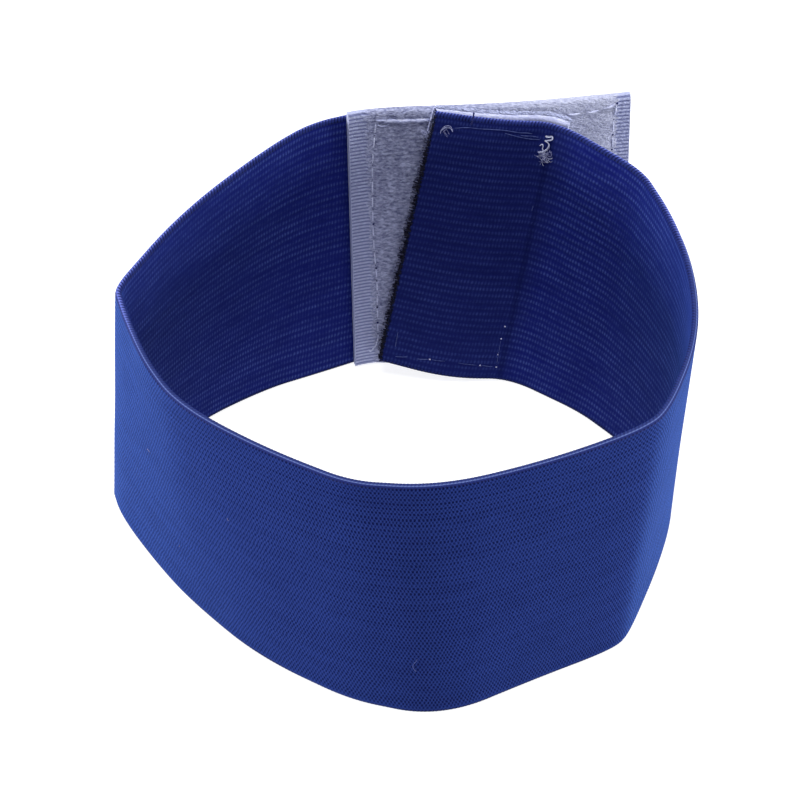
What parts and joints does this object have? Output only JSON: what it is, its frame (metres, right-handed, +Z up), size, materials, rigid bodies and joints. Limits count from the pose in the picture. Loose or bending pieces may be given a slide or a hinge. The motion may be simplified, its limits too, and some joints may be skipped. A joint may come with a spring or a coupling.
{
  "type": "armband",
  "caption": "Wide blank elastic armband, closed into a loop with hook and loop tape and standing on its lower edge.",
  "frame": {"origin": "on the floor under the middle of the standing loop", "axes": "+Z up across the band's width, the closure at +Y, the loop's front at -Y, the free outer end towards +X"},
  "size_m": [0.1052, 0.1, 0.0625],
  "materials": {
    "woven_elastic": "matte woven elastic, royal blue outside, very dark navy ribs inside, light blue whipped rim",
    "loop_tape": "napped lilac grey loop tape with ribbed selvedges",
    "hook_tape": "pale woven hook tape with short stiff hooks"
  },
  "bodies": {
    "root": {"elastic_band": "woven_elastic", "loop_tape": "loop_tape", "hook_tape": "hook_tape"}
  },
  "joints": []
}
